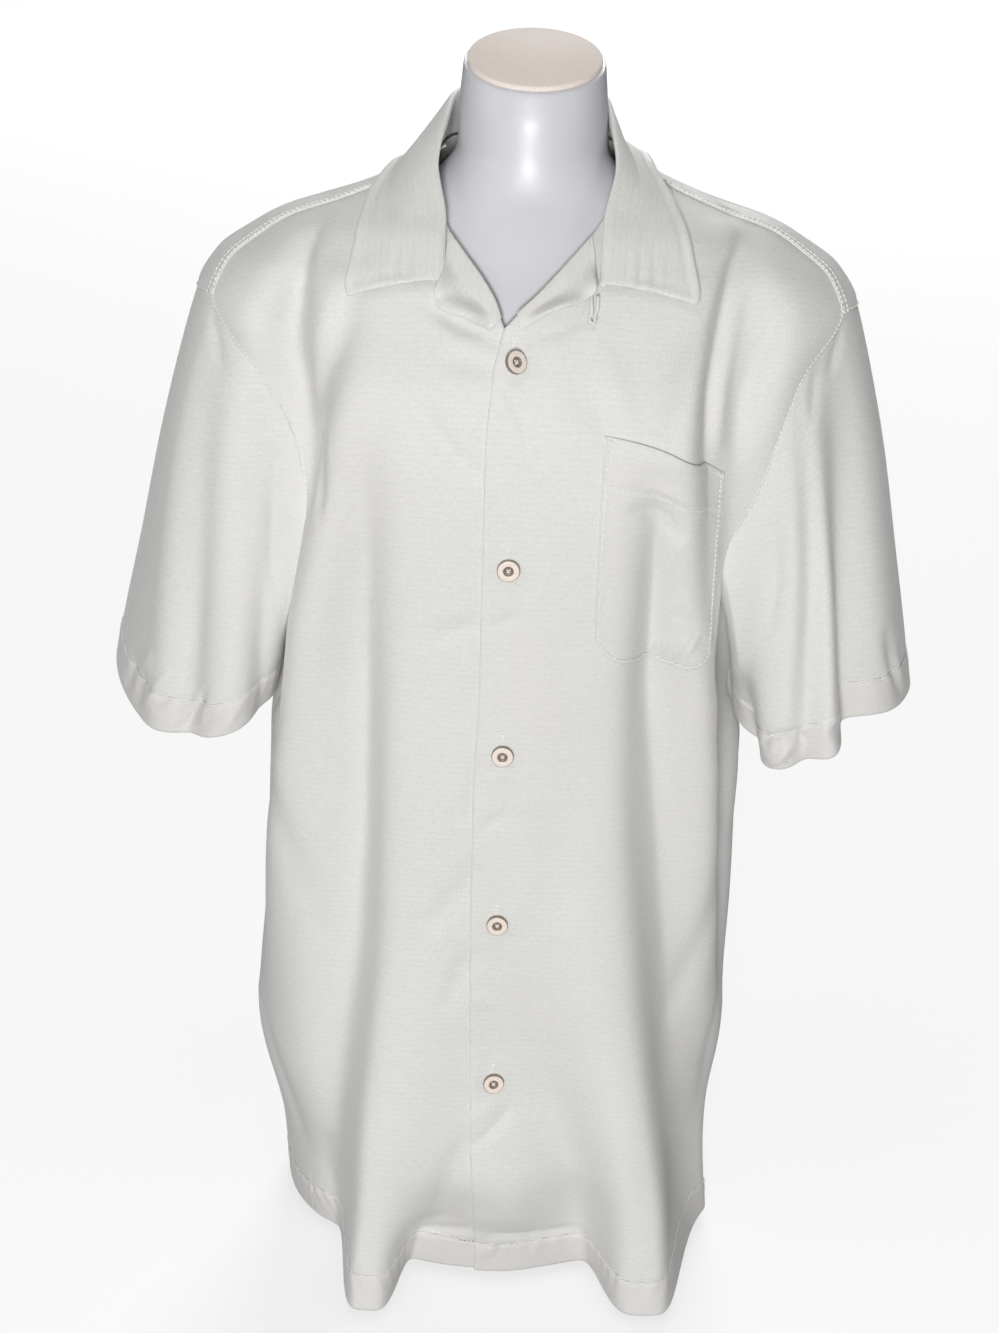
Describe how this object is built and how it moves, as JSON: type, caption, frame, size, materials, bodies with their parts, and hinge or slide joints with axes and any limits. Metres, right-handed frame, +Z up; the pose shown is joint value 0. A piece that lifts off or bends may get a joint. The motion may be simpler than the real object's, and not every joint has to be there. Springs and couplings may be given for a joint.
{
  "type": "camp shirt on a dress form",
  "caption": "Short-sleeved camp shirt with an open notched collar, chest patch pocket and button front, worn by a smooth limbless dress form with a short neck",
  "frame": {"origin": "middle of the form's flat base", "axes": "+Z up, the shirt's front faces -Y, the wearer's left is +X"},
  "size_m": [0.5519, 0.2919, 0.843],
  "materials": {
    "cloth": "off-white, silky, fine horizontal rib and cross weave",
    "button": "pale horn-like face, darker rim and centre",
    "form": "smooth glossy white",
    "form_cap": "matte taupe"
  },
  "bodies": {
    "root": {"front_right": "cloth", "front_left": "cloth", "back": "cloth", "yoke": "cloth", "sleeve_right": "cloth", "sleeve_left": "cloth", "collar": "cloth", "lapel_right": "cloth", "lapel_left": "cloth", "pocket": "cloth", "button_loop": "cloth", "button_1": "button", "button_2": "button", "button_3": "button", "button_4": "button", "button_5": "button", "form": "form", "form_cap": "form_cap"}
  },
  "joints": []
}
